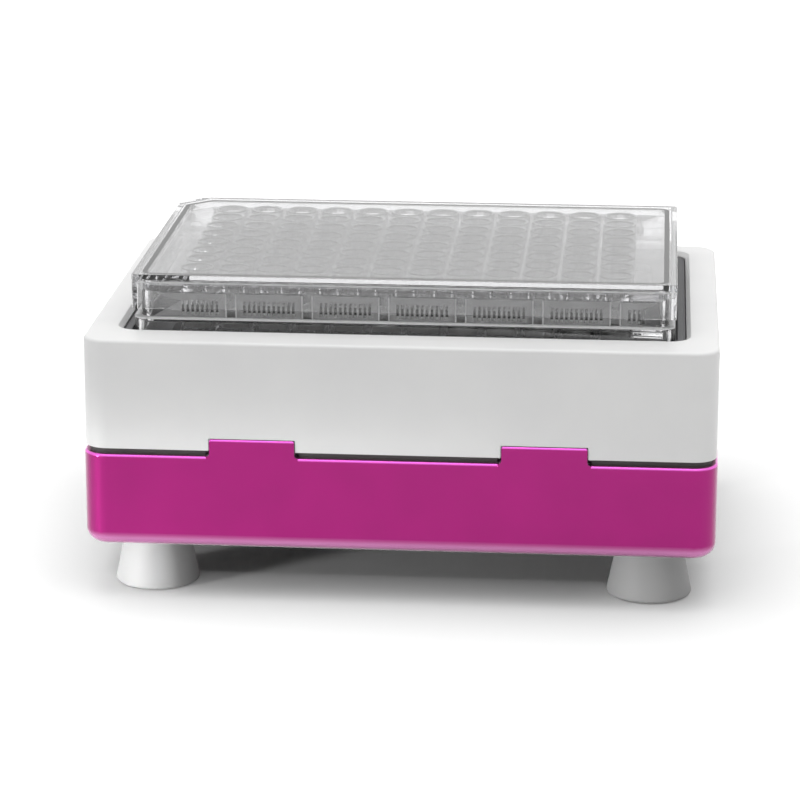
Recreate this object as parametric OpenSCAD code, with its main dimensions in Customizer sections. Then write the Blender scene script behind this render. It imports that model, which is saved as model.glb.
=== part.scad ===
// Vacuum manifold for 96-well filter plates.
// A metal base tray on four rubber feet carries a white collar on a soft seal. The filter plate
// with its lid sits in the collar's window, and drips into an open tray in the chamber below.
// Z is up from the bench, Y runs to the back, where the hose stub stands out.

/* [Collar and base] */
// Width of the collar beside the window
rim_side = 7.6; // [6.5:0.1:20]
// Width of the collar in front of the window
rim_front = 11.4; // [10:0.1:25]
// Width of the collar behind the window
rim_back = 6.8; // [6.5:0.1:20]
// Radius of the upright corners
corner_r = 5.5; // [5:0.5:8]
// Height of the collar
collar_h = 26; // [24:0.5:40]
// Height of the base tray
base_h = 22.6; // [20:0.2:36]
// How far the base stands out past the collar on each side
base_step = 0.3; // [0:0.1:1]
// Round of the base's lower edge
base_bottom_round = 3.5; // [1:0.25:4.5]
// Round of the base's upper edge
base_top_round = 0.7; // [0.3:0.1:0.9]
// Round of the collar's upper edge
collar_top_round = 0.8; // [0.3:0.1:2]
// Thickness of the base's floor
base_floor = 5; // [4.5:0.5:7]

/* [Seal between base and collar] */
// Height of the seal that shows between base and collar
seal_gap = 1.4; // [0.8:0.1:2.2]
// Depth of the groove that holds the seal
seal_groove = 1.2; // [0.8:0.1:2]
// Distance from the base's side to the seal
seal_inset = 1.3; // [1.1:0.1:1.8]
// Width of the seal
seal_w = 4; // [3.4:0.1:4.6]

/* [Tabs that locate the collar] */
// Width of a tab
tab_w = 19.9; // [10:0.1:30]
// Distance of a tab's middle from the centre line
tab_x = 34; // [25:0.5:45]
// Height of a tab above the base's rim
tab_rise = 4.2; // [3:0.1:8]
// Thickness of a tab
tab_t = 2.4; // [2:0.1:2.8]
// Radius at a tab's upper corners
tab_corner_r = 0.6; // [0.3:0.1:1]
// Fillet at a tab's foot
tab_foot_r = 0.8; // [0.3:0.1:1.2]
// Clearance of a tab in its notch
tab_clear = 0.12; // [0.08:0.02:0.3]

/* [Window and chamber] */
// Clearance between the plate's flange and the window
window_gap = 2.7; // [2.2:0.1:3]
// Radius of the window's corners
window_r = 4; // [2:0.5:6]
// Width of the bevel round the window
window_bevel = 1; // [0.4:0.1:1.2]
// Depth of the bevel round the window
bevel_depth = 1.1; // [0.4:0.1:1.4]
// Depth of the plate's seat below the collar's top
seat_drop = 3.75; // [3:0.05:5]
// How far the shelf reaches in under the plate's flange
shelf_w = 6; // [5:0.5:6.5]
// Thickness of the shelf
shelf_t = 2.6; // [2:0.1:5]
// Thickness of the gasket under the plate
gasket_t = 2; // [1.5:0.1:3]
// Clearance round the gasket
gasket_clear = 0.2; // [0.1:0.05:0.4]
// Depth of the gasket's raised lip below the collar's top
lip_drop = 1.15; // [1:0.05:1.6]
// Width of the step along the lip's outer edge
lip_step_w = 0.5; // [0.3:0.1:0.8]
// Depth of that step
lip_step_h = 0.3; // [0.1:0.1:0.6]
// Clearance between the gasket's lip and the plate
lip_clear = 0.6; // [0.4:0.1:1]
// Clearance between the receiver tray and the chamber walls
chamber_gap = 1.5; // [0.8:0.1:2]
// Radius of the chamber's corners
chamber_r = 5; // [3:0.5:7]

/* [Filter plate] */
// Number of columns of wells
columns = 12; // [6:1:12]
// Number of rows of wells
rows = 8; // [4:1:8]
// Distance from well to well
pitch = 9; // [8:0.1:12]
// Distance from the outer columns' middles to the flange's edge
column_margin = 13.95; // [13:0.05:18]
// Distance from the outer rows' middles to the flange's edge
row_margin = 10.8; // [10:0.05:15]
// Height of the plate without its lid
plate_h = 14.6; // [14:0.1:18]
// Height of the flange
flange_h = 5.8; // [5:0.1:6.4]
// How far the plate's upper wall stands in from the flange
upper_inset = 1.65; // [1.6:0.05:2]
// Thickness of the plate's walls
plate_wall = 1.2; // [0.8:0.1:1.5]
// Thickness of the deck between the wells
deck_t = 1.4; // [0.8:0.1:1.6]
// Depth of the deck below the plate's top
deck_drop = 1.5; // [1:0.1:2]
// Depth of the wells' rims below the plate's top
rim_clear = 0.1; // [0:0.05:0.2]
// Gap between neighbouring wells
well_space = 0.8; // [0.4:0.1:1.2]
// Wall of a well
well_wall = 0.65; // [0.4:0.05:0.8]
// Height of the well's lower end above the flange's bottom
well_lift = 2.4; // [2:0.1:3]
// Size of the cut corner
corner_cut = 6; // [3:0.5:7]
// Radius of the plate's other corners
plate_corner_r = 3; // [1.5:0.5:4]
// Wall of the flange
flange_wall = 1.4; // [1:0.1:1.6]

/* [Grip on the plate's wall] */
// Height of the thicker band above the flange
band_h = 5.75; // [4.4:0.05:6.5]
// How far the band stands out
band_out = 0.25; // [0.15:0.05:0.3]
// Width of the upright channels in the band
channel_w = 2; // [1:0.1:2.4]
// Width of the sloped edges of the channels
channel_slope = 0.35; // [0.1:0.05:0.4]
// Number of grip slots in one group
slots_in_group = 11; // [5:1:12]
// Distance from slot to slot
slot_pitch = 1.15; // [1:0.05:1.2]
// Width of a slot
slot_w = 0.6; // [0.4:0.05:0.7]
// Depth of a slot
slot_depth = 0.6; // [0.3:0.05:0.7]
// Height of the slots
slot_h = 3.5; // [2:0.1:4]
// Height of the slots' lower ends above the flange
slot_lift = 0.6; // [0.3:0.1:0.8]
// Plain end of the front and back walls next to the cut corner
slot_end_left = 9.5; // [7:0.1:14]
// Plain end of the front and back walls on the other side
slot_end_right = 5.2; // [4:0.1:14]

/* [Well inserts and drip tips] */
// Clearance between an insert and its well
insert_clear = 0.05; // [0.02:0.01:0.1]
// Thickness of the support frit
frit_t = 1.6; // [1:0.1:2]
// Thickness of the silica membrane
membrane_t = 0.8; // [0.4:0.1:1.2]
// Thickness of the retaining ring
ring_t = 1.2; // [0.8:0.1:1.6]
// Wall of the retaining ring
ring_wall = 0.7; // [0.5:0.1:1]
// Thickness of a well's floor
well_floor = 1.2; // [0.8:0.1:1.6]
// Height of the funnel between a well's floor and its drip tip
funnel_h = 2; // [1:0.1:2.4]
// Outer diameter of a drip tip
tip_d = 4; // [3:0.1:5]
// Bore of a drip tip
tip_bore = 1.8; // [1:0.1:2]
// Clearance of the drip tips above the receiver tray
tip_clear = 0.5; // [0.4:0.1:1.5]

/* [Lid] */
// How far the lid stands out past the plate's flange
lid_over = 0.3; // [0.2:0.05:0.5]
// Thickness of the lid's top
lid_t = 1.6; // [1:0.1:2]
// Depth of the lid's skirt below its top
lid_skirt = 6.65; // [5:0.05:7.5]
// Thickness of the lid's skirt
lid_wall = 1.2; // [0.8:0.1:1.4]
// Radius of the lid's square corners
lid_corner_r = 0.8; // [0.4:0.1:1.5]

/* [Receiver tray] */
// How far the tray's foot stands out past the filter plate's flange
receiver_over = 0.25; // [0:0.05:0.5]
// Clearance between the tray and the shelf above it
receiver_clear = 0.5; // [0.4:0.1:2]
// Height of the tray's foot
receiver_foot_h = 2.6; // [2:0.1:6]
// How far the tray's wall stands in from its foot
receiver_inset = 1.4; // [1:0.1:1.8]
// Wall of the tray
receiver_wall = 1.6; // [1:0.1:2]
// Thickness of the tray's floor
receiver_floor = 1.6; // [1:0.1:2]
// Height of the tray's floor above the chamber's floor
receiver_lift = 1.2; // [0.5:0.1:2]
// Width of the ledge round the tray's mouth
mouth_ledge = 0.6; // [0.3:0.1:0.9]
// Depth of that ledge below the tray's top
mouth_depth = 1.6; // [1:0.1:4]

/* [Feet] */
// Height of a foot
foot_h = 12.4; // [9.5:0.1:20]
// Diameter of a foot on the bench
foot_d = 20; // [18:0.5:22]
// Diameter of a foot under the base
foot_top_d = 15.2; // [12:0.2:17]
// Round of a foot's lower edge
foot_edge_r = 0.8; // [0.4:0.1:1.2]
// Distance of a foot's middle from the base's side
foot_inset_x = 15.3; // [14:0.1:20]
// Distance of a foot's middle from the base's front or back
foot_inset_y = 14.9; // [14:0.1:20]
// Diameter of the foot's screw
screw_d = 4; // [3:0.5:5]
// Diameter of the screw's head
screw_head_d = 7.6; // [6.5:0.1:8]
// Height of the screw's head
screw_head_h = 2.6; // [2:0.1:3]
// How far the screw reaches into the base
screw_grip = 3.8; // [2.5:0.1:4.2]
// Depth of the screw's hole past its end
screw_spare = 0.6; // [0.2:0.1:0.8]
// Diameter of the washer
washer_d = 9; // [8.2:0.1:9.6]
// Thickness of the washer
washer_t = 0.8; // [0.5:0.1:1.2]
// Depth of the screw's recess in the foot
recess_depth = 6.4; // [5:0.1:7]
// Clearance round screws and washers
screw_clear = 0.1; // [0.05:0.05:0.3]
// Size of the screw's hexagon socket
socket_d = 3; // [2:0.5:4]
// Depth of the screw's hexagon socket
socket_depth = 1.8; // [1:0.1:2]

/* [Hose stub] */
// Height of the stub's axis above the base's bottom
stub_lift = 13; // [12.2:0.1:14]
// Outer diameter of the hose stub
stub_d = 8; // [6:0.5:10]
// Bore of the hose stub
stub_bore = 5; // [3:0.5:5.5]
// Length of the plain stretch of the stub
stub_plain = 9; // [6:0.5:14]
// Number of grip grooves at the stub's end
stub_grooves = 3; // [1:1:5]
// Distance from groove to groove
groove_step = 2.8; // [2.4:0.1:4]
// Depth of a groove
groove_depth = 0.45; // [0.2:0.05:0.6]
// Chamfer at the stub's end
stub_chamfer = 0.6; // [0.2:0.1:1]
// Width across the flats of the hexagon
hex_flats = 14; // [13:0.5:17]
// Thickness of the hexagon
hex_t = 5; // [3:0.5:8]
// Diameter of the threaded end in the base
thread_d = 10; // [9:0.5:11]
// Length of the threaded end
thread_len = 7; // [5:0.5:7.5]
// Thickness of the sealing washer
stub_washer_t = 1.2; // [0.8:0.1:2]
// Outer diameter of the sealing washer
stub_washer_d = 16; // [15.5:0.5:18]
// Width of the washer's rubber ring
rubber_w = 1.4; // [1:0.1:1.6]
// Clearance of the thread and of the washer's rings
stub_clear = 0.05; // [0.02:0.01:0.1]

/* [Hidden] */
$fn = 48;
nil = 0.01;

// How far a cut starts outside the solid
past = 1;

// Smallest radius of an inner corner
least_r = 0.5;

// Filter plate
grid_w = (columns - 1)*pitch;
grid_d = (rows - 1)*pitch;
plate_w = grid_w + 2*column_margin;
plate_d = grid_d + 2*row_margin;
upper_w = plate_w - 2*upper_inset;
upper_d = plate_d - 2*upper_inset;
well_outer = pitch - well_space;
well_bore = well_outer - 2*well_wall;
deck_level = plate_h - deck_drop;

// Lid and receiver tray
lid_w = plate_w + 2*lid_over;
lid_d = plate_d + 2*lid_over;
receiver_w = plate_w + 2*receiver_over;
receiver_d = plate_d + 2*receiver_over;

// Window, shelf opening and chamber
window_w = plate_w + 2*window_gap;
window_d = plate_d + 2*window_gap;
window_shift = (rim_front - rim_back)/2;
opening_w = plate_w - 2*shelf_w;
opening_d = plate_d - 2*shelf_w;
chamber_w = receiver_w + 2*chamber_gap;
chamber_d = receiver_d + 2*chamber_gap;

// Sizes of the collar and the base
body_w = window_w + 2*rim_side;
body_d = window_d + rim_front + rim_back;
base_w = body_w + 2*base_step;
base_d = body_d + 2*base_step;
base_corner_r = corner_r + base_step;

// Levels above the bench
base_z = foot_h;
chamber_z = base_z + base_floor;
rim_z = base_z + base_h;
collar_z = rim_z + seal_gap;
top_z = collar_z + collar_h;
seat_z = top_z - seat_drop;
shelf_z = seat_z - gasket_t;
shelf_under_z = shelf_z - shelf_t;
lid_under_z = seat_z + plate_h;
receiver_h = shelf_under_z - receiver_clear - chamber_z;
receiver_top_z = chamber_z + receiver_h;
tip_z = receiver_top_z + tip_clear;
insert_z = seat_z + well_lift;

// Middles of the feet
foot_x = base_w/2 - foot_inset_x;
foot_y = base_d/2 - foot_inset_y;

// The hose stub stands out at the back, so the body lies forward of the frame's middle
stub_reach = stub_washer_t + hex_t + stub_plain + stub_grooves*groove_step;
body_y = -stub_reach/2;

// Colours
magenta = [0.64, 0.13, 0.46];
collar_white = [0.9, 0.9, 0.9];
seal_black = [0.16, 0.15, 0.15];
gasket_grey = [0.33, 0.33, 0.34];
clear_plastic = [0.82, 0.84, 0.86, 0.45];
natural_plastic = [0.86, 0.87, 0.88];
insert_white = [0.95, 0.95, 0.93];
foot_grey = [0.72, 0.72, 0.72];
steel = [0.75, 0.76, 0.78];
nickel = [0.8, 0.8, 0.78];

// Puts the body so that the middle of the whole object is at the frame's origin
module in_place() translate([0, body_y, 0]) children();

// Puts what belongs to the window and the chamber
module at_window(z) in_place() translate([0, window_shift, z]) children();

// Rectangle with round corners
module plan(w, d, r) {
    square([w - 2*r, d], center = true);
    square([w, d - 2*r], center = true);
    for (sx = [-1, 1], sy = [-1, 1])
        translate([sx*(w/2 - r), sy*(d/2 - r)]) circle(r);
}

// Radius of a corner whose outline moves in by t
function inner_r(r, t) = max(r - t, least_r);

// Rectangle with round corners whose outline moves in by t
module inset_plan(w, d, r, t) plan(w - 2*t, d - 2*t, inner_r(r, t));

// Band between two rectangles with round corners
module plan_ring(w, d, r, t) {
    difference() {
        plan(w, d, r);
        inset_plan(w, d, r, t);
    }
}

// What a round of radius r takes off a corner at the origin, for a body to the left and above
module round_waste(r) {
    difference() {
        translate([-r, -nil]) square([r + nil, r + nil]);
        translate([-r, r]) circle(r);
    }
}

// Half section of a wall with a round lower and a round upper edge, from its corner's axis outwards
module round_side(r, h, low, high) {
    difference() {
        square([r, h]);
        if (low > 0) translate([r, 0]) round_waste(low);
        if (high > 0) translate([r, h]) mirror([0, 1]) round_waste(high);
    }
}

// Full section: a middle stretch with the half section at both ends
module section(span, h) {
    translate([-span/2, 0]) square([span, h]);
    translate([span/2, 0]) children();
    translate([-span/2, 0]) mirror([1, 0]) children();
}

// Block with round upright corners, whose sides follow the half section given as its child
module swept_block(w, d, h, r) {
    rotate([90, 0, 0]) linear_extrude(d - 2*r, center = true) section(w - 2*r, h) children();
    rotate([90, 0, 90]) linear_extrude(w - 2*r, center = true) section(d - 2*r, h) children();
    for (sx = [-1, 1], sy = [-1, 1])
        translate([sx*(w/2 - r), sy*(d/2 - r), 0])
            rotate(sx > 0 ? (sy > 0 ? 0 : 270) : (sy > 0 ? 90 : 180))
                rotate_extrude(angle = 90) children();
}

// Rectangle with three round corners and one cut corner
module cut_plan(w, d, r, cut) {
    difference() {
        plan(w, d, r);
        translate([-w/2, d/2]) polygon([[-past, -cut - past], [cut + past, past], [-past, past]]);
    }
}

// The cut that is left when the outline moves in by t
function inner_cut(cut, t) = cut - t*(2 - sqrt(2));

// Wall that follows the cut outline
module cut_ring(w, d, r, cut, t) {
    difference() {
        cut_plan(w, d, r, cut);
        cut_plan(w - 2*t, d - 2*t, inner_r(r, t), inner_cut(cut, t));
    }
}

// Copies its child to every well
module each_well() {
    for (i = [0:columns - 1], j = [0:rows - 1])
        translate([i*pitch - grid_w/2, j*pitch - grid_d/2]) children();
}

// Copies its child to the front and the back, where the tabs stand
module each_tab() {
    for (side = [-1, 1], turn = [0, 180])
        rotate(turn) translate([side*tab_x, -base_d/2, 0]) children();
}

// Front view of a tab: round upper corners and fillets at its foot
module tab_face() {
    difference() {
        union() {
            translate([-tab_w/2, -seal_groove]) square([tab_w, tab_rise + seal_groove]);
            translate([-tab_w/2 - tab_foot_r, -seal_groove])
                square([tab_w + 2*tab_foot_r, seal_groove + tab_foot_r]);
        }
        for (side = [0, 1]) mirror([side, 0]) {
            translate([tab_w/2, tab_rise]) mirror([0, 1]) round_waste(tab_corner_r);
            translate([tab_w/2 + tab_foot_r, tab_foot_r]) circle(tab_foot_r);
        }
    }
}

// Side view of a tab, with a round upper front edge
module tab_side() {
    translate([0, -seal_groove]) difference() {
        square([tab_t, tab_rise + seal_groove]);
        translate([0, tab_rise + seal_groove]) mirror([1, 0]) mirror([0, 1])
            round_waste(tab_corner_r);
    }
}

// A tab with its outer face on the XZ plane and the rim at Z = 0
module tab() {
    reach = tab_w + 2*tab_foot_r;
    intersection() {
        translate([0, tab_t, 0]) rotate([90, 0, 0]) linear_extrude(tab_t) tab_face();
        rotate([90, 0, 90]) linear_extrude(reach, center = true) tab_side();
    }
}

// Room for a tab in the collar and in the seal
module tab_notch() {
    notch_w = tab_w + 2*tab_foot_r + 2*tab_clear;
    notch_d = past + tab_t + tab_clear;
    translate([-notch_w/2, -past, -seal_groove - past])
        cube([notch_w, notch_d, seal_groove + past + tab_foot_r + tab_clear]);
    translate([-tab_w/2 - tab_clear, -past, 0])
        cube([tab_w + 2*tab_clear, notch_d, tab_rise + tab_clear]);
}

module base_tray() {
    wall_back = base_d/2 - window_shift - chamber_d/2;
    color(magenta) in_place() translate([0, 0, base_z]) difference() {
        union() {
            difference() {
                swept_block(base_w, base_d, base_h, base_corner_r)
                    round_side(base_corner_r, base_h, base_bottom_round, base_top_round);
                translate([0, 0, base_h - seal_groove]) linear_extrude(seal_groove + past)
                    seal_plan();
            }
            translate([0, 0, base_h]) each_tab() tab();
        }
        translate([0, window_shift, base_floor]) linear_extrude(base_h)
            plan(chamber_w, chamber_d, chamber_r);
        translate([0, base_d/2 + past, stub_lift]) rotate([90, 0, 0])
            cylinder(h = wall_back + 2*past, d = thread_d + 2*stub_clear);
        for (sx = [-1, 1], sy = [-1, 1]) translate([sx*foot_x, sy*foot_y, -past])
            cylinder(h = screw_grip + screw_spare + past, d = screw_d + screw_clear);
    }
}

// Outline of the seal and of its groove
module seal_plan() {
    plan_ring(base_w - 2*seal_inset, base_d - 2*seal_inset, base_corner_r - seal_inset, seal_w);
}

module base_seal() {
    color(seal_black) in_place() difference() {
        translate([0, 0, rim_z - seal_groove]) linear_extrude(seal_groove + seal_gap) seal_plan();
        translate([0, 0, rim_z]) each_tab() tab_notch();
    }
}

module top_collar() {
    chamber_top = shelf_under_z - collar_z;
    color(collar_white) in_place() difference() {
        translate([0, 0, collar_z]) swept_block(body_w, body_d, collar_h, corner_r)
            round_side(corner_r, collar_h, 0, collar_top_round);
        translate([0, window_shift, collar_z - past]) linear_extrude(chamber_top + past)
            plan(chamber_w, chamber_d, chamber_r);
        translate([0, window_shift, collar_z]) linear_extrude(collar_h)
            plan(opening_w, opening_d, window_r);
        translate([0, window_shift, shelf_z]) linear_extrude(collar_h)
            plan(window_w, window_d, window_r);
        translate([0, window_shift, top_z - bevel_depth]) window_bevel_cut();
        translate([0, 0, rim_z]) each_tab() tab_notch();
    }
}

// Widens the window towards the top
module window_bevel_cut() {
    r = window_r + window_bevel;
    swept_block(window_w + 2*window_bevel, window_d + 2*window_bevel, bevel_depth, r)
        polygon([[0, 0], [window_r, 0], [r, bevel_depth], [0, bevel_depth]]);
}

module plate_gasket() {
    w = window_w - 2*gasket_clear;
    d = window_d - 2*gasket_clear;
    r = window_r - gasket_clear;
    lip_z = top_z - lip_drop;
    lip_in_w = plate_w + 2*lip_clear;
    lip_in_d = plate_d + 2*lip_clear;
    color(gasket_grey) {
        at_window(shelf_z) linear_extrude(gasket_t) difference() {
            plan(w, d, r);
            plan(opening_w, opening_d, window_r);
        }
        at_window(seat_z) linear_extrude(lip_z - lip_step_h - seat_z) difference() {
            plan(w, d, r);
            plan(lip_in_w, lip_in_d, plate_corner_r);
        }
        at_window(lip_z - lip_step_h) linear_extrude(lip_step_h) difference() {
            plan(w - 2*lip_step_w, d - 2*lip_step_w, r - lip_step_w);
            plan(lip_in_w, lip_in_d, plate_corner_r);
        }
    }
}

// Channel with sloped edges, from the band's outer face inwards along Y
module channel_plan() {
    foot = channel_w/2;
    edge = foot + channel_slope;
    polygon([[-edge, -past], [edge, -past], [edge, 0], [foot, band_out], [-foot, band_out], [-edge, 0]]);
}

// Thicker band on the plate's wall, cut by upright channels and, where asked, by grip slots
module band_plan(with_slots) {
    w = upper_w + 2*band_out;
    d = upper_d + 2*band_out;
    difference() {
        cut_ring(w, d, plate_corner_r, corner_cut, band_out + plate_wall);
        for (turn = [0, 1], i = [1:2:columns - 1])
            mirror([0, turn]) translate([i*pitch - grid_w/2, -d/2]) channel_plan();
        for (turn = [0, 1], j = [0:2:rows - 1])
            mirror([turn, 0]) translate([-w/2, j*pitch - grid_d/2]) rotate(-90) channel_plan();
        if (with_slots) grip_slots(w, d);
    }
}

// Groups of narrow slots between the channels, on all four sides
module grip_slots(w, d) {
    middle = (slots_in_group - 1)/2;
    left_end = slot_end_left - upper_w/2;
    right_end = upper_w/2 - slot_end_right;
    for (turn = [0, 1], i = [0:2:columns], k = [-middle:middle]) {
        x = i*pitch - grid_w/2 + k*slot_pitch;
        if (x > left_end && x < right_end)
            mirror([0, turn]) translate([x - slot_w/2, -d/2 - past]) square([slot_w, past + slot_depth]);
    }
    for (turn = [0, 1], j = [1:2:rows - 2], k = [-middle:middle])
        mirror([turn, 0]) translate([-w/2 - past, j*pitch - grid_d/2 + k*slot_pitch - slot_w/2])
            square([past + slot_depth, slot_w]);
}

// Outline of the space inside the plate's walls
module inside_plan() {
    cut_plan(upper_w - 2*plate_wall, upper_d - 2*plate_wall,
        inner_r(plate_corner_r, plate_wall), inner_cut(corner_cut, plate_wall));
}

// Walls and flange of the filter plate
module filter_plate() {
    color(clear_plastic) at_window(seat_z) {
        linear_extrude(flange_h) plan_ring(plate_w, plate_d, plate_corner_r, flange_wall);
        translate([0, 0, flange_h - plate_wall]) linear_extrude(plate_wall) difference() {
            plan(plate_w, plate_d, plate_corner_r);
            inside_plan();
        }
        translate([0, 0, flange_h]) linear_extrude(slot_lift) band_plan(false);
        translate([0, 0, flange_h + slot_lift]) linear_extrude(slot_h) band_plan(true);
        translate([0, 0, flange_h + slot_lift + slot_h])
            linear_extrude(band_h - slot_lift - slot_h) band_plan(false);
        translate([0, 0, flange_h + band_h]) linear_extrude(plate_h - flange_h - band_h)
            cut_ring(upper_w, upper_d, plate_corner_r, corner_cut, plate_wall);
    }
}

// Deck that joins the wells to the walls
module plate_deck() {
    color(clear_plastic) at_window(seat_z + deck_level - deck_t) linear_extrude(deck_t) difference() {
        inside_plan();
        each_well() circle(d = well_outer);
    }
}

// Wells, each with a floor, a funnel and a drip tip
module filter_wells() {
    rim = plate_h - rim_clear;
    floor_low = well_lift - well_floor;
    tip_low = tip_z - seat_z;
    color(clear_plastic) at_window(seat_z) each_well() rotate_extrude()
        polygon([[tip_bore/2, tip_low], [tip_d/2, tip_low], [tip_d/2, floor_low - funnel_h],
            [well_outer/2, floor_low], [well_outer/2, rim], [well_bore/2, rim],
            [well_bore/2, well_lift], [tip_bore/2, well_lift]]);
}

module tube_plan(outer, bore) {
    difference() {
        circle(d = outer);
        circle(d = bore);
    }
}

module support_frits() {
    color(insert_white) at_window(insert_z) each_well()
        cylinder(h = frit_t, d = well_bore - 2*insert_clear);
}

module silica_membranes() {
    color(insert_white) at_window(insert_z + frit_t) each_well()
        cylinder(h = membrane_t, d = well_bore - 2*insert_clear);
}

module retaining_rings() {
    outer = well_bore - 2*insert_clear;
    color(natural_plastic) at_window(insert_z + frit_t + membrane_t) each_well()
        linear_extrude(ring_t) tube_plan(outer, outer - 2*ring_wall);
}

module plate_lid() {
    color(clear_plastic) {
        at_window(lid_under_z) linear_extrude(lid_t)
            cut_plan(lid_w, lid_d, lid_corner_r, corner_cut);
        at_window(lid_under_z - lid_skirt) linear_extrude(lid_skirt)
            cut_ring(lid_w, lid_d, lid_corner_r, corner_cut, lid_wall);
    }
}

// Open tray with a foot, a raised floor and a ledge round its mouth
module receiver_tray() {
    w = receiver_w - 2*receiver_inset;
    d = receiver_d - 2*receiver_inset;
    mouth_wall = receiver_wall - mouth_ledge;
    color(natural_plastic) at_window(chamber_z) difference() {
        union() {
            linear_extrude(receiver_foot_h) plan(receiver_w, receiver_d, plate_corner_r);
            linear_extrude(receiver_h) plan(w, d, plate_corner_r);
        }
        translate([0, 0, -past]) linear_extrude(past + receiver_lift)
            inset_plan(w, d, plate_corner_r, receiver_wall);
        translate([0, 0, receiver_lift + receiver_floor]) linear_extrude(receiver_h)
            inset_plan(w, d, plate_corner_r, receiver_wall);
        translate([0, 0, receiver_h - mouth_depth]) linear_extrude(mouth_depth + past)
            inset_plan(w, d, plate_corner_r, mouth_wall);
    }
}

// Turns its child's Z axis to the back and puts it on the base's back face
module at_stub() {
    in_place() translate([0, base_d/2, base_z + stub_lift]) rotate([-90, 0, 0]) children();
}

module vacuum_stub() {
    end = stub_reach;
    hex_z = stub_washer_t;
    stub_z = hex_z + hex_t;
    color(nickel) at_stub() difference() {
        union() {
            translate([0, 0, -thread_len]) cylinder(h = thread_len + hex_z, d = thread_d);
            translate([0, 0, hex_z]) cylinder(h = hex_t, d = hex_flats/cos(30), $fn = 6);
            rotate_extrude() polygon([[0, stub_z], [stub_d/2, stub_z], [stub_d/2, end - stub_chamfer],
                [stub_d/2 - stub_chamfer, end], [0, end]]);
        }
        translate([0, 0, -thread_len - past]) cylinder(h = end + thread_len + 2*past, d = stub_bore);
        for (k = [0:stub_grooves - 1])
            rotate_extrude() translate([stub_d/2, end - (k + 0.5)*groove_step]) circle(groove_depth);
    }
}

module stub_washer() {
    color(steel) at_stub() linear_extrude(stub_washer_t)
        tube_plan(stub_washer_d, thread_d + 2*rubber_w + 4*stub_clear);
}

module stub_seal_ring() {
    bore = thread_d + 2*stub_clear;
    color(seal_black) at_stub() linear_extrude(stub_washer_t) tube_plan(bore + 2*rubber_w, bore);
}

// A flared rubber foot with a recess for its screw
module foot(sx, sy) {
    color(foot_grey) in_place() translate([sx*foot_x, sy*foot_y, 0]) difference() {
        rotate_extrude() {
            polygon([[0, 0], [foot_d/2 - foot_edge_r, 0], [foot_d/2 - foot_edge_r, foot_edge_r],
                [foot_d/2, foot_edge_r], [foot_top_d/2, foot_h], [0, foot_h]]);
            translate([foot_d/2 - foot_edge_r, foot_edge_r]) circle(foot_edge_r);
        }
        translate([0, 0, -past]) cylinder(h = recess_depth + past, d = washer_d + 2*screw_clear);
        cylinder(h = foot_h + past, d = screw_d + 2*screw_clear);
    }
}

module foot_screws() {
    head_z = recess_depth - washer_t - screw_head_h;
    color(steel) each_foot() translate([0, 0, head_z]) difference() {
        union() {
            cylinder(h = screw_head_h, d = screw_head_d);
            cylinder(h = foot_h + screw_grip - head_z, d = screw_d);
        }
        translate([0, 0, -past]) cylinder(h = past + socket_depth, d = socket_d, $fn = 6);
    }
}

module foot_washers() {
    color(steel) each_foot() translate([0, 0, recess_depth - washer_t])
        linear_extrude(washer_t) tube_plan(washer_d, screw_d + 2*screw_clear);
}

// Copies its child to the four feet
module each_foot() {
    in_place() for (sx = [-1, 1], sy = [-1, 1]) translate([sx*foot_x, sy*foot_y, 0]) children();
}

module foot_front_left() foot(-1, -1);
module foot_front_right() foot(1, -1);
module foot_rear_left() foot(-1, 1);
module foot_rear_right() foot(1, 1);

base_tray();
base_seal();
top_collar();
plate_gasket();
filter_plate();
plate_deck();
filter_wells();
support_frits();
silica_membranes();
retaining_rings();
plate_lid();
receiver_tray();
vacuum_stub();
stub_washer();
stub_seal_ring();
foot_front_left();
foot_front_right();
foot_rear_left();
foot_rear_right();
foot_screws();
foot_washers();
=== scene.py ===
"""Dresses the filter plate vacuum manifold: finishes of its parts, a pale studio and the camera."""
from math import cos, radians, sin, sqrt

import bmesh
import bpy
from mathutils import Matrix, Vector


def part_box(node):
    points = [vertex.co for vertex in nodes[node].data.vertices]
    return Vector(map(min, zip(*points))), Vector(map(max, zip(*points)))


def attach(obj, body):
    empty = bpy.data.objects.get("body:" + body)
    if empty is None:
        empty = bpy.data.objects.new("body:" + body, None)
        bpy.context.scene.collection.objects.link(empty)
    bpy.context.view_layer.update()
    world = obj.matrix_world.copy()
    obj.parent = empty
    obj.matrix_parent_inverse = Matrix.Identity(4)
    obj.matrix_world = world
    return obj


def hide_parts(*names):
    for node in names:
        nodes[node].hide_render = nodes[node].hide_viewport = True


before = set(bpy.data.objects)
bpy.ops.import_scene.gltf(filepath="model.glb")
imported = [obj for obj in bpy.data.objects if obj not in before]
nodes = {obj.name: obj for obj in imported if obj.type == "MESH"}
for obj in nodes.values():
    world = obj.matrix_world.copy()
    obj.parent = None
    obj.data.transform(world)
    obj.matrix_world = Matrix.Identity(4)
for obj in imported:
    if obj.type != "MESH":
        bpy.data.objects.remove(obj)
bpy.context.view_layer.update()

# Sizes of the plate that its boxes don't give, in metres
COLUMNS, ROWS = 12, 8
WELL_OUTER = 0.0082
CORNER_CUT = 0.0054
FLANGE_H, BAND_H = 0.0058, 0.00575
CORNER_SPAN = 0.008

# How far the band's face, the wall, the slots' floors and the wells lie inside the plate's sides
BAND_INSET, WALL_INSET, SLOT_INSET, WELLS_INSET = 0.0014, 0.00165, 0.002, 0.0032

# Overlap of the joined pieces, and how near a face has to lie to a level or a depth
SEAM = 0.0003
HAIR = 0.00005

# Sizes of the lid
LID_T, LID_WALL, LID_CORNER, LID_CUT = 0.0016, 0.0012, 0.0008, 0.006
LID_ROUND, LID_STEP = 0.00015, 0.0003
LEAST_RADIUS = 0.0002
ARC_STEPS = 8

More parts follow.
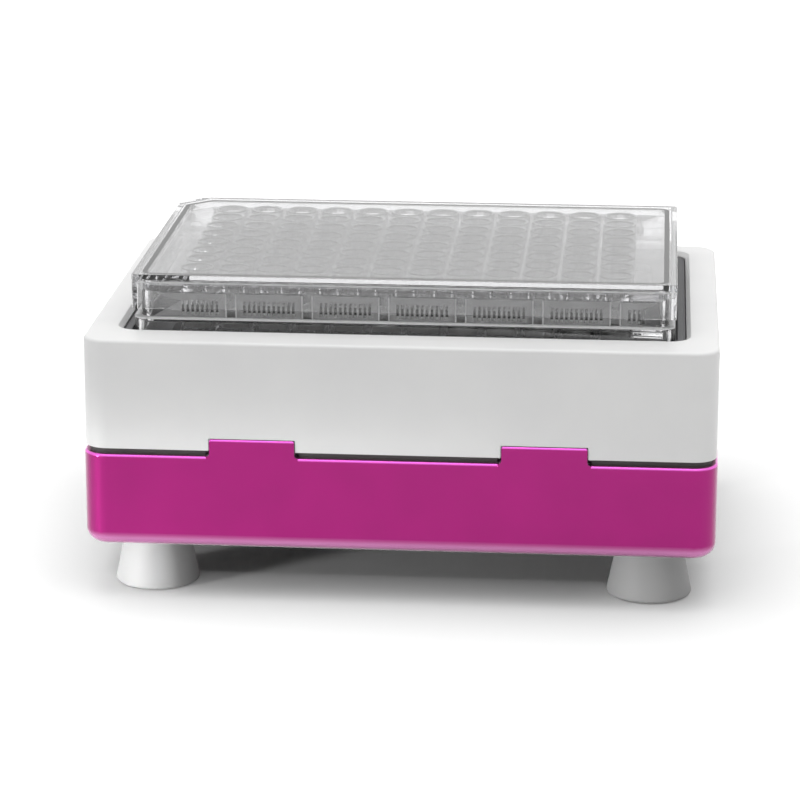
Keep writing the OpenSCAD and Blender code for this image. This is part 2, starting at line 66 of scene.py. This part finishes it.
# A face is level or upright by how much its normal points up
LEVEL, UPRIGHT = 0.9, 0.1

# Refractive index of polystyrene, and the noise values between which a ramp changes its colour
PLASTIC_IOR = 1.57
RAMP_START, RAMP_END = 0.3, 0.7

# Places that the rest is worked out from, in metres
collar_low, collar_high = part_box("top_collar")
body_middle = Vector(((collar_low.x + collar_high.x)/2, (collar_low.y + collar_high.y)/2, 0))
collar_top = collar_high.z
LEDGE_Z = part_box("filter_plate")[0].z + FLANGE_H
BAND_TOP = LEDGE_Z + BAND_H
WELL_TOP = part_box("filter_wells")[1].z
RIM_REACH = 0.01


def set_sockets(node, values):
    """Sets a node's sockets by name."""
    for name, value in values.items():
        node.inputs[name].default_value = value


def new_material(name, **sockets):
    """A material with one Principled shader, whose sockets are set by name."""
    material = bpy.data.materials.new(name)
    material.use_nodes = True
    shader = material.node_tree.nodes["Principled BSDF"]
    set_sockets(shader, {key.replace("_", " "): value for key, value in sockets.items()})
    return material, shader


def add_node(material, kind, values=None, **settings):
    node = material.node_tree.nodes.new(kind)
    for key, value in settings.items():
        setattr(node, key, value)
    set_sockets(node, values or {})
    return node


def link(material, source, target):
    material.node_tree.links.new(source, target)


def noise(material, scale, detail=3.0):
    """Noise in object space. The scale is in cycles per metre."""
    place = add_node(material, "ShaderNodeTexCoord")
    texture = add_node(material, "ShaderNodeTexNoise",
                       {"Scale": scale, "Detail": detail, "Roughness": 0.5})
    link(material, place.outputs["Object"], texture.inputs["Vector"])
    return texture.outputs["Fac"]


def ramp(material, value, low, high):
    """Turns a noise value into a colour between low and high."""
    node = add_node(material, "ShaderNodeValToRGB")
    stops = node.color_ramp.elements
    stops[0].position, stops[0].color = RAMP_START, (*low, 1)
    stops[1].position, stops[1].color = RAMP_END, (*high, 1)
    link(material, value, node.inputs["Fac"])
    return node.outputs["Color"]


def spread(material, value, low, high):
    """Maps a value from 0 to 1 onto the range from low to high."""
    node = add_node(material, "ShaderNodeMapRange", {"To Min": low, "To Max": high})
    link(material, value, node.inputs["Value"])
    return node.outputs["Result"]


def value_of(tree, operation, *values):
    """The result of one sum on sockets and numbers."""
    node = tree.nodes.new("ShaderNodeMath")
    node.operation = operation
    for socket, value in zip(node.inputs, values):
        if isinstance(value, bpy.types.NodeSocket):
            tree.links.new(value, socket)
        else:
            socket.default_value = value
    return node.outputs["Value"]


def parts_of(tree, vector):
    """The X, Y and Z parts of a vector."""
    parts = tree.nodes.new("ShaderNodeSeparateXYZ")
    tree.links.new(vector, parts.inputs["Vector"])
    return parts.outputs


def place_in_object(material):
    """The X, Y and Z of the shaded point in object space, in metres."""
    place = add_node(material, "ShaderNodeTexCoord")
    return parts_of(material.node_tree, place.outputs["Object"])


def bump(material, shader, height, distance, strength, edge=0.0):
    """Surface bump over rounded edges. Distance and edge radius are in metres."""
    node = add_node(material, "ShaderNodeBump", {"Distance": distance, "Strength": strength})
    link(material, height, node.inputs["Height"])
    if edge:
        bevel = add_node(material, "ShaderNodeBevel", {"Radius": edge}, samples=6)
        link(material, bevel.outputs["Normal"], node.inputs["Normal"])
    link(material, node.outputs["Normal"], shader.inputs["Normal"])


def give_colour(material, colour, socket):
    """Gives a socket the colour of another socket, or three numbers."""
    if isinstance(colour, bpy.types.NodeSocket):
        link(material, colour, socket)
    else:
        socket.default_value = (*colour, 1)


def mixed(material, factor, first, second):
    """A colour between two others, each a socket or three numbers."""
    node = add_node(material, "ShaderNodeMix", data_type="RGBA")
    link(material, factor, node.inputs["Factor"])
    give_colour(material, first, node.inputs["A"])
    give_colour(material, second, node.inputs["B"])
    return node.outputs["Result"]


def grained(material, shader, colour):
    """Gives the shader a colour, a socket or three numbers, with a faint fine grain in it."""
    node = add_node(material, "ShaderNodeMix", {"Factor": 0.1}, data_type="RGBA", blend_type="MULTIPLY")
    give_colour(material, colour, node.inputs["A"])
    link(material, ramp(material, noise(material, 400), (0.8, 0.8, 0.8), (1, 1, 1)), node.inputs["B"])
    link(material, node.outputs["Result"], shader.inputs["Base Color"])


def facing(material, levels):
    """A factor from 0 to 1 by how far a surface looks up (1) or down (-1).

    Levels are pairs of slope and factor.
    """
    tree = material.node_tree
    normal = add_node(material, "ShaderNodeNewGeometry")
    slope_up = parts_of(tree, normal.outputs["Normal"])["Z"]
    node = add_node(material, "ShaderNodeValToRGB")
    stops = node.color_ramp.elements
    while len(stops) < len(levels):
        stops.new(1.0)
    for stop, (slope, factor) in zip(stops, levels):
        stop.position = (slope + 1)/2
        stop.color = (factor, factor, factor, 1)
    link(material, value_of(tree, "MULTIPLY_ADD", slope_up, 0.5, 0.5), node.inputs["Fac"])
    return node.outputs["Color"]


def coated_metal():
    """Satin magenta coat on metal, with a painted highlight on its upward sloping rounded edges and a
    painted pale reflection on its downward ones.
    """
    material, shader = new_material("magenta_coat", Metallic=0.75, Coat_Weight=0.2, Coat_Roughness=0.08,
                                    Sheen_Weight=0.5, Sheen_Roughness=0.35)
    cloud = noise(material, 60)
    magenta = ramp(material, cloud, (0.31, 0.003, 0.145), (0.345, 0.004, 0.16))
    # Painted highlight: faces that slope upwards turn bright pink, as if lit from above.
    painted_top_highlight = facing(material, [(0.1, 0.0), (0.4, 1.0), (0.9, 1.0), (0.98, 0.0)])
    # Painted reflection: faces that slope downwards turn a pale pinkish grey.
    lower = facing(material, [(-0.95, 0.0), (-0.8, 0.7), (-0.4, 0.7), (-0.05, 0.0)])
    with_painted_edge_light = mixed(material, lower, mixed(material, painted_top_highlight, magenta, (0.9, 0.14, 0.7)), (0.75, 0.3, 0.6))
    path = add_node(material, "ShaderNodeLightPath")
    link(material, mixed(material, path.outputs["Is Diffuse Ray"], with_painted_edge_light, (0.12, 0.12, 0.12)),
         shader.inputs["Base Color"])
    grain = noise(material, 5200, 2)
    link(material, spread(material, grain, 0.2, 0.3), shader.inputs["Roughness"])
    bump(material, shader, grain, 0.00002, 0.25, edge=0.0003)
    return material


def moulded(name, low, high, roughness, grain_scale=4200, grain=0.3, edge=0.0003):
    """Opaque moulded plastic or rubber: faint clouds of colour and a fine grain."""
    material, shader = new_material(name)
    link(material, ramp(material, noise(material, 45), low, high), shader.inputs["Base Color"])
    fine = noise(material, grain_scale, 2)
    link(material, spread(material, fine, roughness - 0.05, roughness + 0.05),
         shader.inputs["Roughness"])
    bump(material, shader, fine, 0.00003, grain, edge)
    return material


def clear_plastic(name, tint, density):
    """Clear polystyrene with faint flow clouds, a little grey in its depth."""
    material, shader = new_material(name, Transmission_Weight=1.0, IOR=PLASTIC_IOR, Roughness=0.0)
    link(material, ramp(material, noise(material, 70, 2), tuple(0.985*c for c in tint), tint),
         shader.inputs["Base Color"])
    haze = add_node(material, "ShaderNodeVolumeAbsorption",
                    {"Color": (0.58, 0.58, 0.59, 1), "Density": density})
    output = material.node_tree.nodes["Material Output"]
    link(material, haze.outputs["Volume"], output.inputs["Volume"])
    return material


def painted_highlight_plastic(name, tint):
    """Opaque pale plastic on faces of the clear plate and lid, a painted highlight that stands in for
    bright lines along their edges.
    """
    material, shader = new_material(name, IOR=PLASTIC_IOR, Roughness=0.5)
    grained(material, shader, tint)
    return material


def banded_plastic(name, tint, bands):
    """Clear plastic painted in bands by height: opaque pale bands are painted highlights, dark ones painted
    shade.

    Each band is the level in metres where it starts, a shade and how opaque it is.
    """
    material, shader = new_material(name, IOR=PLASTIC_IOR)
    tree = material.node_tree
    margin = 0.001
    bottom, top = bands[0][0], bands[-1][0] + margin
    level = add_node(material, "ShaderNodeMapRange", {"From Min": bottom, "From Max": top})
    link(material, place_in_object(material)["Z"], level.inputs["Value"])
    steps = add_node(material, "ShaderNodeValToRGB")
    steps.color_ramp.interpolation = "CONSTANT"
    stops = steps.color_ramp.elements
    while len(stops) < len(bands):
        stops.new(1.0)
    for stop, (height, shade, cover) in zip(stops, bands):
        stop.position = (height - bottom)/(top - bottom)
        stop.color = (*(shade*c for c in tint), cover)
    link(material, level.outputs["Result"], steps.inputs["Fac"])
    grained(material, shader, steps.outputs["Color"])
    cover = steps.outputs["Alpha"]
    link(material, value_of(tree, "SUBTRACT", 1.0, cover), shader.inputs["Transmission Weight"])
    link(material, value_of(tree, "MULTIPLY", cover, 0.5), shader.inputs["Roughness"])
    return material


def let_light_through(bounces):
    """Lets light pass the many clear walls of the plate."""
    cycles = bpy.context.scene.cycles
    cycles.max_bounces = bounces
    cycles.glossy_bounces = bounces
    cycles.transmission_bounces = bounces
    cycles.transparent_max_bounces = bounces


def plated_metal(name, colour, roughness):
    """Plated metal with fine turning marks."""
    material, shader = new_material(name, Metallic=1.0)
    link(material, ramp(material, noise(material, 220), tuple(0.9*c for c in colour), colour),
         shader.inputs["Base Color"])
    marks = noise(material, 2600, 4)
    link(material, spread(material, marks, roughness - 0.06, roughness + 0.08),
         shader.inputs["Roughness"])
    bump(material, shader, marks, 0.00001, 0.3, edge=0.0002)
    return material


PLATE_TINT = (0.95, 0.95, 0.955)
clear_plate = clear_plastic("clear_plate", PLATE_TINT, 25)
# Painted shade: the field of wells gets a darker copy of the plate's clear plastic.
clear_wells_painted_shade = clear_plastic("clear_wells_painted_shade", (0.74, 0.74, 0.745), 25)
clear_lid = clear_plastic("clear_lid", (0.91, 0.91, 0.915), 12)
plate_finishes_and_painted_light = {
    "clear": clear_plate,
    "wells": clear_wells_painted_shade,
    # Painted highlight: the ledge and the slanting faces beside it are opaque pale plastic.
    "ledge": painted_highlight_plastic("ledge_painted_highlight", PLATE_TINT),
    # Painted highlight: the flange's outer sides turn opaque white in the last 0.6 mm below the ledge.
    "flange": banded_plastic("flange_painted_highlight", PLATE_TINT, [(0, 1.0, 0.0), (LEDGE_Z - 0.0006, 1.0, 1.0)]),
    # Painted light: a white haze on the band's face lightens it, and its top 0.2 mm is an opaque white
    # painted highlight.
    "band": banded_plastic("band_painted_light", PLATE_TINT, [(0, 1.0, 0.35), (BAND_TOP - 0.0002, 1.0, 1.0)]),
    # Painted highlight and shade: the slots' walls are opaque white up to 1.1 mm above the ledge, nearly
    # black up to 2.8 mm, then clear.
    "slots": banded_plastic("slot_painted_shade_and_highlight", PLATE_TINT,
                            [(0, 1.0, 1.0), (LEDGE_Z + 0.0011, 0.01, 1.0), (LEDGE_Z + 0.0028, 1.0, 0.0)]),
    # Painted shade: a nearly black ring in the top 0.6 mm of each well's rim.
    "rims": banded_plastic("rim_painted_shade", PLATE_TINT, [(0, 1.0, 0.0), (WELL_TOP - 0.0006, 0.03, 1.0)]),
}
finishes = {
    "base_tray": coated_metal(),
    "top_collar": moulded("white_plastic", (0.83, 0.83, 0.83), (0.87, 0.87, 0.865), 0.38),
    "base_seal": moulded("black_rubber", (0.045, 0.036, 0.038), (0.058, 0.048, 0.05), 0.55),
    "plate_gasket": moulded("grey_silicone", (0.075, 0.075, 0.08), (0.1, 0.1, 0.105), 0.5),
    "filter_plate": clear_plate,
    "plate_deck": clear_plate,
    "filter_wells": clear_plate,
    "plate_lid": clear_lid,
    "receiver_tray": moulded("milky_plastic", (0.62, 0.63, 0.64), (0.7, 0.71, 0.72), 0.4),
    "support_frits": moulded("porous_frit", (0.78, 0.78, 0.76), (0.86, 0.86, 0.85), 0.8, 9000, 0.9),
    "silica_membranes": moulded("silica_mat", (0.82, 0.82, 0.8), (0.9, 0.9, 0.89), 0.9, 7000, 1.0),
    "retaining_rings": moulded("ring_plastic", (0.7, 0.7, 0.71), (0.78, 0.78, 0.79), 0.4),
    "vacuum_stub": plated_metal("nickel_plate", (0.72, 0.7, 0.66), 0.18),
    "stub_washer": plated_metal("zinc_plate", (0.62, 0.63, 0.66), 0.3),
    "stub_seal_ring": moulded("ring_rubber", (0.02, 0.02, 0.02), (0.03, 0.03, 0.03), 0.5),
    "foot_screws": plated_metal("screw_zinc", (0.6, 0.61, 0.63), 0.28),
    "foot_washers": plated_metal("washer_zinc", (0.62, 0.63, 0.65), 0.3),
}
foot_rubber = moulded("foot_rubber", (0.45, 0.45, 0.45), (0.51, 0.51, 0.51), 0.55, 3000, 0.4, 0.0005)
for name in nodes:
    if name.startswith("foot_") and name not in finishes:
        finishes[name] = foot_rubber
for name, material in finishes.items():
    nodes[name].data.materials.clear()
    nodes[name].data.materials.append(material)


def closed_object(name, shape):
    """A new object from a bmesh, whose vertices are joined where they meet."""
    bmesh.ops.remove_doubles(shape, verts=shape.verts, dist=1e-6)
    mesh = bpy.data.meshes.new(name)
    shape.to_mesh(mesh)
    shape.free()
    item = bpy.data.objects.new(name, mesh)
    bpy.context.scene.collection.objects.link(item)
    return item


def copy_of(node):
    """A copy of a CAD node's mesh."""
    shape = bmesh.new()
    shape.from_mesh(nodes[node].data)
    return closed_object(node + "_copy", shape)


def prism(name, outline, low, high):
    """A closed upright prism over an outline that runs anticlockwise."""
    shape = bmesh.new()
    face = shape.faces.new([shape.verts.new((x, y, high)) for x, y in outline])
    sides = bmesh.ops.extrude_face_region(shape, geom=[face])
    lower = [item for item in sides["geom"] if isinstance(item, bmesh.types.BMVert)]
    bmesh.ops.translate(shape, verts=lower, vec=(0, 0, low - high))
    bmesh.ops.recalc_face_normals(shape, faces=shape.faces)
    return closed_object(name, shape)


def combine(target, other, operation):
    """Joins the target's mesh with another closed mesh or cuts it. The other one is deleted."""
    step = target.modifiers.new("combine", "BOOLEAN")
    step.operation, step.solver, step.object = operation, "MANIFOLD", other
    result = bpy.data.meshes.new_from_object(target.evaluated_get(bpy.context.evaluated_depsgraph_get()))
    target.modifiers.clear()
    target.data = result
    bpy.data.objects.remove(other)


def smooth_round_faces(target):
    """Shades round faces smoothly and keeps large flat ones flat."""
    target.data.shade_smooth()
    target.data.set_sharp_from_angle(angle=radians(28))
    weigh = target.modifiers.new("weigh", "WEIGHTED_NORMAL")
    weigh.keep_sharp = True
    weigh.weight = 100
    result = bpy.data.meshes.new_from_object(target.evaluated_get(bpy.context.evaluated_depsgraph_get()))
    target.modifiers.clear()
    target.data = result


def well_grid():
    """The middle of the first well in plan and the steps to the next ones."""
    low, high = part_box("filter_wells")
    half = WELL_OUTER/2
    steps = (high.x - low.x - WELL_OUTER)/(COLUMNS - 1), (high.y - low.y - WELL_OUTER)/(ROWS - 1)
    return (low.x + half, low.y + half), steps


def well_middles():
    """The middles of the wells in plan."""
    (x, y), (step_x, step_y) = well_grid()
    return [(x + i*step_x, y + j*step_y) for i in range(COLUMNS) for j in range(ROWS)]


def inset(point, low, high):
    """How far a point lies inside the nearest side of a box, seen from above."""
    return min(point.x - low.x, high.x - point.x, point.y - low.y, high.y - point.y)


def points_to_its_well(face, grid):
    """Whether an upright face looks at the axis of the nearest well."""
    (x, y), (step_x, step_y) = grid
    column = round((face.center.x - x)/step_x)
    row = round((face.center.y - y)/step_y)
    inward = Vector((x + step_x*column, y + step_y*row, 0)) - face.center
    return abs(face.normal.z) < UPRIGHT and inward.x*face.normal.x + inward.y*face.normal.y > 0


def finish_or_paint_of(face, corners, low, high, grid):
    """Names the finish or painted light of one face of the plate by where it lies."""
    depths = [inset(corner, low, high) for corner in corners]
    middle = face.center
    along = max(min(middle.x - low.x, high.x - middle.x), min(middle.y - low.y, high.y - middle.y))
    straight = along > CORNER_SPAN
    upright = abs(face.normal.z) < UPRIGHT
    skew = min(abs(face.normal.x), abs(face.normal.y)) > 0.3
    outward = (middle - body_middle).xy.dot(face.normal.xy) > 0
    if min(depths) > WELLS_INSET:
        is_rim = middle.z > WELL_TOP - RIM_REACH and points_to_its_well(face, grid)
        return "rims" if is_rim else "wells"
    if face.normal.z > LEVEL and abs(middle.z - LEDGE_Z) < HAIR:
        return "ledge"
    if middle.z < LEDGE_Z:
        return "flange" if upright and outward and max(depths) < BAND_INSET - HAIR else "clear"
    if middle.z > BAND_TOP or not straight:
        return "clear"
    if upright and skew and max(depths) < WALL_INSET + HAIR:
        return "ledge"
    if abs(max(depths) - SLOT_INSET) < HAIR:
        return "slots"
    return "band" if max(depths) < BAND_INSET + HAIR else "clear"


def dress_plate(plate):
    """Gives every face of the plate its finish or painted light."""
    low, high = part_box("filter_plate")
    grid = well_grid()
    order = list(plate_finishes_and_painted_light)
    for material in plate_finishes_and_painted_light.values():
        plate.data.materials.append(material)
    for face in plate.data.polygons:
        corners = [plate.data.vertices[index].co for index in face.vertices]
        face.material_index = order.index(finish_or_paint_of(face, corners, low, high, grid))


def plate_moulding():
    """The plate as one moulding: its walls, deck and wells run into each other by a seam's width."""
    low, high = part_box("plate_deck")
    left, right, front, back = low.x - SEAM, high.x + SEAM, low.y - SEAM, high.y + SEAM
    outline = [(left, front), (right, front), (right, back),
               (left + CORNER_CUT, back), (left, back - CORNER_CUT)]
    deck = prism("deck", outline, low.z, high.z)
    holes = bmesh.new()
    for x, y in well_middles():
        radius = WELL_OUTER/2 - SEAM
        bmesh.ops.create_cone(holes, cap_ends=True, segments=48, radius1=radius, radius2=radius,
                              depth=0.01, matrix=Matrix.Translation((x, y, (low.z + high.z)/2)))
    combine(deck, closed_object("holes", holes), "DIFFERENCE")
    plate = copy_of("filter_plate")
    plate.name = "plate_moulding"
    combine(plate, deck, "UNION")
    combine(plate, copy_of("filter_wells"), "UNION")
    smooth_round_faces(plate)
    plate.data.materials.clear()
    dress_plate(plate)
    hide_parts("filter_plate", "plate_deck", "filter_wells")
    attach(plate, "plate")


plate_moulding()


def cut_outline(left, right, front, back, radius, cut):
    """Outline of a rectangle with round corners and its rear left corner cut off, anticlockwise."""
    points = []
    for x, y, start in ((right - radius, front + radius, -90), (right - radius, back - radius, 0),
                        (left + radius, front + radius, 180)):
        if start == 180:
            points += [(left + cut, back), (left, back - cut)]
        for step in range(ARC_STEPS + 1):
            angle = radians(start + 90*step/ARC_STEPS)
            points.append((x + radius*cos(angle), y + radius*sin(angle)))
    return points


def lid_moulding():
    """The lid with a fine round on its upper edge and a slope where its skirt meets the plate, painted pale
    as a highlight line.
    """
    low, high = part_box("plate_lid")
    under = high.z - LID_T
    outer = [(0, low.z), (0, high.z - LID_ROUND),
             (0.3*LID_ROUND, high.z - 0.3*LID_ROUND), (LID_ROUND, high.z)]
    inner = [(LID_WALL + LID_STEP, under), (LID_WALL + LID_STEP, under - LID_STEP),
             (LID_WALL, under - 2*LID_STEP), (LID_WALL, low.z)]
    top_ring, slope_ring = len(outer) - 1, len(outer) + 1
    shape = bmesh.new()
    loops = []
    for depth, z in outer + inner:
        cut = LID_CUT - depth*(2 - sqrt(2))
        outline = cut_outline(low.x + depth, high.x - depth, low.y + depth, high.y - depth,
                              max(LID_CORNER - depth, LEAST_RADIUS), cut)
        loops.append([shape.verts.new((x, y, z)) for x, y in outline])
    count = len(loops[0])
    for ring, (first, second) in enumerate(zip(loops, loops[1:] + loops[:1])):
        if ring == top_ring:
            shape.faces.new(first)
            shape.faces.new(list(reversed(second)))
            continue
        for i in range(count):
            j = (i + 1) % count
            face = shape.faces.new([first[i], first[j], second[j], second[i]])
            face.material_index = 1 if ring == slope_ring else 0
    bmesh.ops.recalc_face_normals(shape, faces=shape.faces)
    lid = closed_object("lid_moulding", shape)
    smooth_round_faces(lid)
    # The slope gets the ledge's opaque pale plastic, a painted highlight.
    for material in (clear_lid, plate_finishes_and_painted_light["ledge"]):
        lid.data.materials.append(material)
    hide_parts("plate_lid")
    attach(lid, "lid")


lid_moulding()


def seen_plainly(tree):
    """1 for what the camera sees straight, or by mirrors and clear walls, and 0 for light on the object."""
    path = tree.nodes.new("ShaderNodeLightPath")
    mirrored = value_of(tree, "MAXIMUM", path.outputs["Is Glossy Ray"], path.outputs["Is Transmission Ray"])
    total = value_of(tree, "MAXIMUM", path.outputs["Is Camera Ray"], mirrored)
    direct = value_of(tree, "LESS_THAN", path.outputs["Diffuse Depth"], 0.5)
    return value_of(tree, "MULTIPLY", total, direct)


def studio_floor():
    """A wide white floor that stays white for the camera and keeps the shadow, with a painted glow that
    lightens the shadow away from the body.
    """
    bpy.ops.mesh.primitive_plane_add(size=6.0, location=(0, 0, -0.0002))
    floor = bpy.context.active_object
    floor.name = "floor"
    material, shader = new_material("floor_white", Roughness=0.9)
    set_sockets(shader, {"Specular IOR Level": 0.1})
    link(material, ramp(material, noise(material, 3), (0.84, 0.84, 0.84), (0.86, 0.86, 0.86)),
         shader.inputs["Base Color"])
    tree = material.node_tree
    place = place_in_object(material)
    outside = []
    for axis, half in (("X", 0.055), ("Y", 0.045)):
        from_middle = value_of(tree, "ABSOLUTE", place[axis])
        outside.append(value_of(tree, "MAXIMUM", value_of(tree, "SUBTRACT", from_middle, half), 0.0))
    squares = [value_of(tree, "MULTIPLY", distance, distance) for distance in outside]
    away = value_of(tree, "SQRT", value_of(tree, "ADD", *squares))
    # Painted light: the glow that the camera sees is nil next to the body and grows as the square root of
    # the distance from it, up to 0.5.
    painted_glow_by_distance = value_of(tree, "MINIMUM", value_of(tree, "SQRT", away), 0.5)
    amount = value_of(tree, "MULTIPLY", seen_plainly(tree), painted_glow_by_distance)
    painted_glow = add_node(material, "ShaderNodeEmission")
    link(material, amount, painted_glow.inputs["Strength"])
    both = add_node(material, "ShaderNodeAddShader")
    link(material, shader.outputs["BSDF"], both.inputs[0])
    link(material, painted_glow.outputs["Emission"], both.inputs[1])
    link(material, both.outputs["Shader"], material.node_tree.nodes["Material Output"].inputs["Surface"])
    floor.data.materials.append(material)


def area_light(name, place, aim, width, height, power, spread_angle=180):
    """A soft box that shines from place towards aim."""
    lamp = bpy.data.lights.new(name, "AREA")
    lamp.shape = "RECTANGLE"
    lamp.size, lamp.size_y, lamp.energy = width, height, power
    lamp.spread = radians(spread_angle)
    light = bpy.data.objects.new(name, lamp)
    bpy.context.scene.collection.objects.link(light)
    light.location = place
    light.rotation_euler = (Vector(aim) - Vector(place)).to_track_quat("-Z", "Y").to_euler()


def world_light(low, high, sharpness):
    """A soft sky: low at the horizon, high overhead, and plain white where the camera sees it."""
    world = bpy.data.worlds.new("studio")
    bpy.context.scene.world = world
    world.use_nodes = True
    tree = world.node_tree
    background = tree.nodes["Background"]
    background.inputs["Color"].default_value = (1, 1, 1, 1)
    place = tree.nodes.new("ShaderNodeTexCoord")
    up = value_of(tree, "MAXIMUM", parts_of(tree, place.outputs["Generated"])["Z"], 0.0)
    rise = value_of(tree, "POWER", up, sharpness)
    sky = value_of(tree, "MULTIPLY_ADD", rise, high - low, low)
    shown = value_of(tree, "MAXIMUM", sky, seen_plainly(tree))
    tree.links.new(shown, background.inputs["Strength"])


def photo_camera():
    """The camera of the photograph, worked out from its edges."""
    azimuth, elevation, roll = radians(4.573), radians(15.899), radians(0.1)
    distance, aim_left, aim_below_top = 0.80467, 0.00376, 0.02808
    aim = body_middle + Vector((-aim_left, 0, collar_top - aim_below_top))
    towards = Vector((sin(azimuth)*cos(elevation), -cos(azimuth)*cos(elevation), sin(elevation)))
    camera = bpy.data.objects.new("camera", bpy.data.cameras.new("camera"))
    bpy.context.scene.collection.objects.link(camera)
    camera.data.lens = 146.1
    camera.data.sensor_width = 36.0
    turn = (-towards).to_track_quat("-Z", "Y").to_matrix().to_4x4()
    camera.matrix_world = Matrix.Translation(aim + towards*distance) @ turn @ Matrix.Rotation(roll, 4, "Z")
    bpy.context.scene.camera = camera


photo_camera()
let_light_through(32)
studio_floor()
world_light(0.1, 2.9, 4)
area_light("left_box", (-0.8, -0.6, 0.3), (0, 0, 0.03), 0.5, 0.4, 0.3)
area_light("foot_light", (-0.35, -0.3, 0.03), (-0.06, -0.06, 0.004), 0.12, 0.02, 0.022, 14)
bpy.context.scene.view_settings.view_transform = "Standard"
